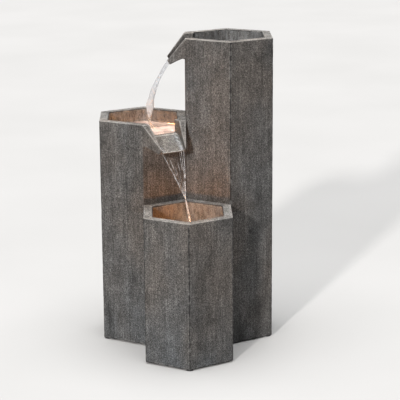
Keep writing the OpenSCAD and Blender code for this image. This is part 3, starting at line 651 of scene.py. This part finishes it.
def edge_marks(edges, centre):
    """Points along the edges, each with how worn it is and how far from the edge that shows.

    Level edges are worn, and a spout's sloping edges less so but wider. Upright, low and basin edges
    are soiled, which counts as less than not worn.
    """
    marks = []
    for e in edges:
        a, b = e.verts[0].co, e.verts[1].co
        basin = in_basin(a - centre) and in_basin(b - centre)
        steep = abs((b - a).normalized().z)
        looks_up = max(f.normal.z for f in e.link_faces) > 0.3
        if steep > 0.95 or max(a.z, b.z) < WORN_ABOVE or basin:
            look = (-1.0, SOILED)
        elif steep > 0.3:
            look = (0.6 * looks_up, WORN_SLOPE)
        else:
            look = (1.0, WORN)
        count = max(2, int((b - a).length / MM))
        marks += [(a.lerp(b, k / count), *look) for k in range(count + 1)]
    return marks


def in_sight(face, centre, floor_z):
    """True for the outside of a column and for the walls of its basin."""
    middle = face.calc_center_median()
    return middle.z > floor_z or face.normal.dot((middle - centre).to_2d().to_3d()) > 0


def cut_grid(bm, centre, floor_z):
    """Cuts the visible faces into cells of about CUT_STEP."""
    top = max(v.co.z for v in bm.verts)
    reach = int(WIDTH / CUT_STEP) + 1
    planes = [(UP, Vector((0, 0, k * CUT_STEP))) for k in range(1, int(top / CUT_STEP) + 1)]
    for angle in (30, 90, 150):
        planes += [(heading(angle), centre + heading(angle) * (k + 0.5) * CUT_STEP)
                   for k in range(-reach, reach)]
    for normal, point in planes:
        faces = [f for f in bm.faces if in_sight(f, centre, floor_z)]
        edges = {e for f in faces for e in f.edges}
        verts = {v for f in faces for v in f.verts}
        bmesh.ops.bisect_plane(bm, geom=[*verts, *edges, *faces], dist=1e-6,
                               plane_co=point, plane_no=normal)


def relief(p, distance, seed):
    """How far the cast face stands out at a point: board marks, waves and lumps, but none at sharp edges."""
    q = p / MM + Vector((seed, 2 * seed, 0))
    board = noise.noise(Vector((q.x * 0.16, q.y * 0.16, q.z * 0.010)))
    wave = noise.noise(q * 0.035)
    lump = noise.noise(q * 0.11)
    return (0.26 * board + 0.30 * wave + 0.14 * lump) * smooth(distance / FLAT_BAND) * MM


def chipping(p, distance, seed):
    """How much is worn away at a point this far from a sharp edge."""
    if distance > CHIP_BAND:
        return 0.0
    q = p / MM + Vector((seed, seed, seed))
    near = 1 - distance / CHIP_BAND
    small = max(0.0, noise.noise(q * 0.22) - 0.05)
    large = max(0.0, noise.noise(q * 0.06 + Vector((40, 0, 0))) - 0.28)
    return (0.35 * small + 1.3 * large) * near * near * MM


def in_basin(offset):
    """True for a point within the hexagon of a basin's inner walls, by its offset from the axis."""
    return max(abs(offset.dot(heading(angle))) for angle in (0, 60, 120)) < INNER + 0.3 * MM


def in_channel(point, which):
    """True for a point on the floor of a spout's chute."""
    centre, out, _ = SPOUTS[which]
    offset = point - centre
    along = offset.dot(out) - WIDTH / 2
    aside = abs(offset.dot(UP.cross(out)))
    low = abs(point.z - chute_floor(which, along)) < 1.5 * MM
    return low and aside < NOTCH_HALF and CHANNEL_START < along < LIP_U + 2 * MM


def stain_and_glow_at(point, node, inside):
    """How stained a point is: in a basin where the water eddies, and on the faces above the lower fall,
    where the brown stain also paints the warm glow of the low basin's lamp.
    """
    if inside:
        aside = {"middle_column": point.x - MID.x, "low_column": LOW.x - point.x}.get(node, 0.0)
        return 0.8 * smooth(aside / (25 * MM))
    if node == "low_column" or point.z < low_hi.z - 10 * MM:
        return 0.0
    return smooth(1.35 - (point - LOW_ENTRY).length / STAIN_AND_GLOW_REACH)


def toward_neighbour(normal, centre):
    """Half a joint's width toward the column that a point's face lies against, or nothing."""
    for axis in (LOW, MID, TALL):
        way = (axis - centre).normalized()
        if normal.dot(way) > 0.8:
            return way * JOINT / 2
    return None


def subdivided(obj, levels):
    """The object's mesh with each face split in four, as many times as levels says."""
    split = obj.modifiers.new("split", "SUBSURF")
    split.subdivision_type = "SIMPLE"
    split.levels = split.render_levels = levels
    shaped = obj.evaluated_get(bpy.context.evaluated_depsgraph_get())
    mesh = bpy.data.meshes.new_from_object(shaped)
    obj.modifiers.clear()
    return mesh


def shape_face(mesh, node, centre, floor_z, marks, seed):
    """Makes a casting's surface uneven, and notes on each point what its stone shows there."""
    tree = KDTree(len(marks))
    for k, (point, _, _) in enumerate(marks):
        tree.insert(point, k)
    tree.balance()
    looks = {"edge": [], "inside": [], "stain_and_glow_mark": [], "channel": []}
    normals = [v.normal.copy() for v in mesh.vertices]
    for v, normal in zip(mesh.vertices, normals):
        _, nearest, distance = tree.find(v.co)
        _, wear, reach = marks[nearest]
        inside = v.co.z > floor_z - MM and in_basin(v.co - centre)
        looks["edge"].append(wear * bell(distance, 0, reach))
        looks["inside"].append(float(inside))
        looks["stain_and_glow_mark"].append(stain_and_glow_at(v.co, node, inside))
        looks["channel"].append(float(any(in_channel(v.co, which) for which in SPOUTS)))
        shift = toward_neighbour(normal, centre)
        v.co += shift or normal * (relief(v.co, distance, seed) - chipping(v.co, distance, seed))
    for title, values in looks.items():
        mesh.attributes.new(title, "FLOAT", "POINT").data.foreach_set("value", values)


def casting(node, centre, floor_z, finish, seed):
    """A column in full detail, with bevelled, chipped edges and an uneven cast face."""
    bm = clean_copy(node)
    edges = outer_edges(bm, centre)
    marks = edge_marks(edges, centre)
    bmesh.ops.bevel(bm, geom=edges, offset=BEVEL, segments=2, profile=0.6, affect="EDGES",
                    clamp_overlap=False)
    cut_grid(bm, centre, floor_z)
    bmesh.ops.dissolve_degenerate(bm, dist=SLIVER, edges=bm.edges)
    obj = new_object("cast_" + node, bm, finish)
    mesh = subdivided(obj, 2)
    obj.data = mesh
    shape_face(mesh, node, centre, floor_z, marks, seed)
    mesh.polygons.foreach_set("use_smooth", [True] * len(mesh.polygons))
    mesh.set_sharp_from_angle(angle=math.radians(40))
    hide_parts(node)


# ---------- water ----------

POOL_DEPTH = 4 * MM


def basin_reach(direction):
    """Distance from a column's axis to its basin's wall in a level direction."""
    angle = math.atan2(direction.y, direction.x) % math.radians(60)
    return INNER / math.cos(min(angle, math.radians(60) - angle))


def ripple(point, entry):
    """How far a pool stands above its level: rings from where the water falls in, and a slow chop."""
    away = (point - entry).to_2d().length / MM
    ring = math.sin(away * 0.95) * math.exp(-away / 16)
    q = point / MM
    chop = noise.noise(Vector((q.x * 0.10, q.y * 0.10, 3)))
    return (0.525 * ring + 0.315 * chop) * MM


def pool(name, centre, level, entry, finish):
    """The water in a basin, as a closed slab with a rippled top."""
    rings, spokes = 34, 96
    bm = bmesh.new()
    top = []
    for r in range(1, rings + 1):
        loop = []
        for s in range(spokes):
            direction = heading(360 * s / spokes)
            point = centre + direction * basin_reach(direction) * r / rings
            loop.append(bm.verts.new((point.x, point.y, level + ripple(point, entry))))
        top.append(loop)
    bottom = [bm.verts.new((v.co.x, v.co.y, level - POOL_DEPTH)) for v in top[-1]]
    hub = bm.verts.new((centre.x, centre.y, level + ripple(centre, entry)))
    base = bm.verts.new((centre.x, centre.y, level - POOL_DEPTH))
    for s in range(spokes):
        t = (s + 1) % spokes
        bm.faces.new((hub, top[0][s], top[0][t]))
        for r in range(rings - 1):
            bm.faces.new((top[r][s], top[r + 1][s], top[r + 1][t], top[r][t]))
        bm.faces.new((top[-1][s], bottom[s], bottom[t], top[-1][t]))
        bm.faces.new((base, bottom[t], bottom[s]))
    new_object(name, bm, finish)


def skin(bm, loops):
    """Joins loops of points into a closed skin."""
    sides = len(loops[0])
    for a, b in zip(loops, loops[1:]):
        for s in range(sides):
            t = (s + 1) % sides
            bm.faces.new((a[s], a[t], b[t], b[s]))
    bm.faces.new(reversed(loops[0]))
    bm.faces.new(loops[-1])


def tube(bm, points, radii, sides):
    """Adds a closed round tube along points."""
    loops = []
    for k, point in enumerate(points):
        ahead = (points[min(k + 1, len(points) - 1)] - points[max(k - 1, 0)]).normalized()
        across = Vector((0.3, 0.9, 0.1))
        across = (across - ahead * across.dot(ahead)).normalized()
        other = ahead.cross(across)
        turns = [2 * math.pi * s / sides for s in range(sides)]
        loops.append([bm.verts.new(point + radii[k] * (math.cos(turn) * across + math.sin(turn) * other))
                      for turn in turns])
    skin(bm, loops)


def slab(bm, upper, lower):
    """Joins two grids of points, one over the other, into a closed slab."""
    last_row, last_column = len(upper) - 1, len(upper[0]) - 1
    for r in range(last_row):
        for c in range(last_column):
            bm.faces.new((upper[r][c], upper[r + 1][c], upper[r + 1][c + 1], upper[r][c + 1]))
            bm.faces.new((lower[r][c], lower[r][c + 1], lower[r + 1][c + 1], lower[r + 1][c]))
        bm.faces.new((upper[r][0], lower[r][0], lower[r + 1][0], upper[r + 1][0]))
        bm.faces.new((upper[r][-1], upper[r + 1][-1], lower[r + 1][-1], lower[r][-1]))
    for c in range(last_column):
        bm.faces.new((upper[0][c], upper[0][c + 1], lower[0][c + 1], lower[0][c]))
        bm.faces.new((upper[-1][c], lower[-1][c], lower[-1][c + 1], upper[-1][c + 1]))


# A film: where it starts and stops along the spout, how deep it is at the lip, and how far it sinks
# into the stone
FILM_START = -24 * MM
FILM_STOP = LIP_U + 0.3 * MM
FILM_THIN = 0.45 * MM
FILM_SUNK = 0.4 * MM
FILM_SEEDS = {"tall": 7, "middle": 11}


def film(which, finish):
    """The thin sheet that runs from the basin over the overflow edge and down the chute.

    It heaps up and froths in one band near its right bank, and in a thinner one to the left.
    """
    centre, out, _ = SPOUTS[which]
    across = UP.cross(out)
    rows, columns = 30, 40
    bm = bmesh.new()
    air = bm.verts.layers.float.new("air")
    upper, lower = [], []
    for r in range(rows + 1):
        u = FILM_START + (FILM_STOP - FILM_START) * r / rows
        down = (u - WEIR_U) / (LIP_U - WEIR_U)
        half = NOTCH_HALF - (NOTCH_HALF - LIP_HALF) * max(0, u / LIP_U)
        floor = chute_floor(which, u)
        line_up, line_down = [], []
        for c in range(columns + 1):
            w = 2 * c / columns - 1
            streak = 0.2 * noise.noise(Vector((w * 5, u / MM * 0.06, FILM_SEEDS[which])))
            bank = bell(w, 0.80, 0.14) + 0.8 * bell(w, -0.62, 0.05) * smooth((u - 8 * MM) / (6 * MM))
            broken = 0.75 + 0.9 * noise.noise(Vector((w * 3, u / MM * 0.25, 20)))
            deep = ease(OVERFLOW, FILM_THIN, down) + (streak + bank) * MM * smooth(down)
            point = centre + out * (WIDTH / 2 + u) + across * half * w
            line_up.append(bm.verts.new(point + UP * (floor + deep)))
            line_up[-1][air] = smooth((u - WEIR_U) / (6 * MM)) * bank * broken
            line_down.append(bm.verts.new(point + UP * (floor - FILM_SUNK)))
        upper.append(line_up)
        lower.append(line_down)
    slab(bm, upper, lower)
    new_object(which + "_chute_water", bm, finish)


# The threads that the tall stream frays into at its foot: place across it in mm, and where on the way
# down each starts
FOOT_THREADS = ((-3.2, 0.70), (-1.2, 0.73), (1.5, 0.71), (3.0, 0.74))


def foot_threads(bm, path, across):
    """Thin threads of water beside the foot of the tall stream."""
    for n, (side, begin) in enumerate(FOOT_THREADS):
        points, radii = [], []
        for k in range(int((len(path) - 1) * begin), len(path)):
            sway = Vector((noise.noise(Vector((n * 9, k * 0.15, 0))), 0, 0))
            points.append(path[k] + across * side * MM + sway * MM)
            radii.append((0.30 + 0.35 * abs(noise.noise(Vector((n * 5, k * 0.3, 2))))) * MM)
        tube(bm, points, radii, 8)


def tall_stream(finish):
    """The full stream from the tall spout: a sheet with thick edges that draws together into a rope.

    It swells before its foot, and has a slit near its top.
    """
    across = UP.cross(SPOUTS["tall"][1])
    steps, sides = 100, 40
    path = fall_path("tall", steps)
    bm = bmesh.new()
    air = bm.verts.layers.float.new("air")
    loops = []
    for k, point in enumerate(path):
        t = k / steps
        ahead = (path[min(k + 1, steps)] - path[max(k - 1, 0)]).normalized()
        normal = ahead.cross(across).normalized()
        half = ease(15.0, 5.0, t / 0.60) * MM
        core = ease(0.6, 3.2, (t - 0.05) / 0.45) * MM
        bead = ease(2.3, 3.8, t / 0.5) * MM
        swell = 1 + 0.45 * bell(t, 0.66, 0.07) - 0.40 * smooth((t - 0.72) / 0.12)
        loop = []
        for s in range(sides):
            w = math.cos(2 * math.pi * s / sides)
            face = math.sin(2 * math.pi * s / sides)
            thick = core + (bead - core) * abs(w) ** 3
            thick *= math.sqrt(max(0.0, 1 - abs(w) ** 6)) * swell
            q = Vector((w * 2.4, face * 1.8, t * 3))
            rough = 1 + 0.22 * noise.noise(q) + 0.06 * noise.noise(q * 2.7)
            aside = half * w * swell * (1 + 0.08 * noise.noise(q * 1.3))
            vert = bm.verts.new(point + across * aside + normal * math.copysign(thick, face) * rough)
            # White streaks on the stream are painted glints of light, which fade at its foot; the slit is
            # left clear.
            streak = 1.05 + 0.9 * noise.noise(Vector((w * 4.5, 4 + face, t * 2)))
            slit = bell(t, 0.22, 0.08) * bell(w, 0, 0.45)
            vert[air] = (streak - slit) * (1 - 0.85 * smooth((t - 0.72) / 0.15))
            loop.append(vert)
        loops.append(loop)
    skin(bm, loops)
    foot_threads(bm, path, across)
    new_object("tall_stream", bm, finish)


# The middle fall's strands: place across the lip from -1 to 1, radius in mm, and where each starts and
# ends on the way down
STRANDS = (
    (-0.98, 0.24, 0.0, 0.30), (-0.97, 0.32, 0.26, 0.53), (-0.80, 0.22, 0.24, 0.51),
    (-0.55, 0.26, 0.08, 0.26), (-0.52, 0.20, 0.31, 0.52), (-0.30, 0.18, 0.16, 0.34),
    (-0.22, 0.22, 0.38, 0.52), (0.06, 0.18, 0.25, 0.49), (0.20, 0.22, 0.12, 0.24),
    (0.34, 0.20, 0.34, 0.52), (0.58, 0.26, 0.0, 0.22), (0.62, 0.22, 0.28, 0.50),
    (0.76, 0.34, 0.0, 0.36), (0.86, 0.30, 0.18, 0.52), (0.98, 0.42, 0.0, 0.46),
)
# Where on the way down they meet
MERGE = 0.53


def middle_fall(finish):
    """The broken sheet from the middle spout: thin strands that meet and fall on as one."""
    across = UP.cross(SPOUTS["middle"][1])
    steps = 90
    path = fall_path("middle", steps)
    bm = bmesh.new()
    air = bm.verts.layers.float.new("air")
    for n, (w, thick, begin, stop) in enumerate(STRANDS):
        points, radii = [], []
        for k in range(int(steps * begin), int(steps * stop) + 1):
            t = k / steps
            apart = LIP_HALF * 0.92 * w * max(0.0, 1 - t / MERGE)
            sway = noise.noise(Vector((7 * n, t * 7, 0))) * 0.7 * MM * smooth(t * 4)
            points.append(path[k] + across * (apart + sway))
            radii.append(thick * MM * (1 + 0.9 * noise.noise(Vector((9 * n, k * 0.35, 5)))))
        tube(bm, points, radii, 8)
    first = int(steps * (MERGE - 0.06))
    radii = [ease(0.6, 1.1, (k - first) / 10) * MM * (1 + 0.9 * noise.noise(Vector((3, k * 0.45, 1))))
             for k in range(first, steps + 1)]
    tube(bm, path[first:], radii, 10)
    # The strands are whitened all over as painted glints, so that they read as lit threads.
    for v in bm.verts:
        v[air] = 0.45 + 0.5 * noise.noise(v.co / MM * 0.2)
    new_object("middle_fall", bm, finish)


def blob(bm, place, radius, rng):
    """A small uneven drop."""
    made = bmesh.ops.create_icosphere(bm, subdivisions=2, radius=radius)
    phase = rng.random() * 50
    for v in made["verts"]:
        v.co *= 1 + 0.3 * noise.noise(v.co / radius + Vector((phase, 0, 0)))
        v.co += place


FROTH_RISE = 3 * MM


def froth(name, entry, count, spread, finish, seed):
    """Bubbles and thrown drops where a stream meets a pool."""
    rng = random.Random(seed)
    bm = bmesh.new()
    for _ in range(count):
        angle = rng.random() * 2 * math.pi
        away = spread * math.sqrt(rng.random())
        lift = FROTH_RISE * rng.random() ** 3 * (1 - away / spread * 0.5)
        place = entry + Vector((math.cos(angle) * away, math.sin(angle) * away, lift))
        blob(bm, place, (0.45 + 0.8 * rng.random() ** 2) * MM, rng)
    new_object(name, bm, finish)


def spray(name, path, count, finish, seed, width):
    """Loose drops beside a falling stream."""
    rng = random.Random(seed)
    bm = bmesh.new()
    for _ in range(count):
        point = path[int(rng.random() * (len(path) - 1))]
        off = Vector((rng.gauss(0, width), rng.gauss(0, width), 0))
        blob(bm, point + off, (0.2 + 0.35 * rng.random() ** 2) * MM, rng)
    new_object(name, bm, finish)


def add_water():
    """The three pools, and the falls and films between them."""
    clear = water("pool_water")
    # The middle pool's water glows: painted light of the lamp beneath it and of warm reflections.
    glowing_pool_water = water("painted_glow_water", painted_glow=0.29)
    running = water("running_water", flow=(1, 1, 0.25))
    tall_path = fall_path("tall", 60)
    mid_path = fall_path("middle", 60)
    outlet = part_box("outlet_fitting")
    spring = Vector(((outlet[0].x + outlet[1].x) / 2, (outlet[0].y + outlet[1].y) / 2, LEVELS["tall"]))
    pool("tall_pool", TALL, LEVELS["tall"], spring, clear)
    pool("middle_pool", MID, LEVELS["middle"], tall_path[-1], glowing_pool_water)
    pool("low_pool", LOW, LEVELS["low"], mid_path[-1], clear)
    film("tall", running)
    film("middle", running)
    tall_stream(running)
    middle_fall(running)
    froth("middle_froth", tall_path[-1], 24, 7 * MM, running, 3)
    froth("low_froth", mid_path[-1], 24, 6 * MM, running, 4)
    spray("tall_spray", tall_path[30:], 16, running, 5, 2.6 * MM)
    spray("middle_spray", mid_path[20:], 26, running, 6, 1.6 * MM)


AMBER = (1.0, 0.42, 0.12)
LAMP_SIZE = 6 * MM


def add_glow():
    """The warm light of the underwater lamps, which the camera sees only where it falls."""
    glows = []
    for which, energy in (("low", 0.09), ("middle", 0.055)):
        lo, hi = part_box(which + "_light_lens")
        place = Vector(((lo.x + hi.x) / 2, (lo.y + hi.y) / 2, hi.z + 12 * MM))
        glows.append(add_light(which + "_glow", "POINT", place, energy, AMBER,
                               shadow_soft_size=LAMP_SIZE))
    place = LOW + UP * (LEVELS["low"] + 4 * MM)
    target = LOW + heading(90) * 12 * MM + UP * low_hi.z
    glows.append(add_light("low_beam", "SPOT", place, 0.16, AMBER, target, spot_size=math.radians(120),
                           spot_blend=0.8, shadow_soft_size=LAMP_SIZE))
    for light in glows:
        light.visible_camera = False


# ---------- everything together ----------

add_camera()
finishes = make_finishes()
dress_nodes(finishes)
add_studio()
add_floor()
# Each casting: its axis, the height above which its inside is in view, and the seed of its surface
CASTINGS = {
    "tall_column": (TALL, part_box("tall_basin_floor")[1].z, 3.1),
    "middle_column": (MID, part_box("middle_basin_floor")[1].z, 17.7),
    "low_column": (LOW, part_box("pump_tray")[0].z, 42.9),
}
for column, (axis, floor_z, seed) in CASTINGS.items():
    casting(column, axis, floor_z, finishes["cast_stone"], seed)
add_water()
add_glow()
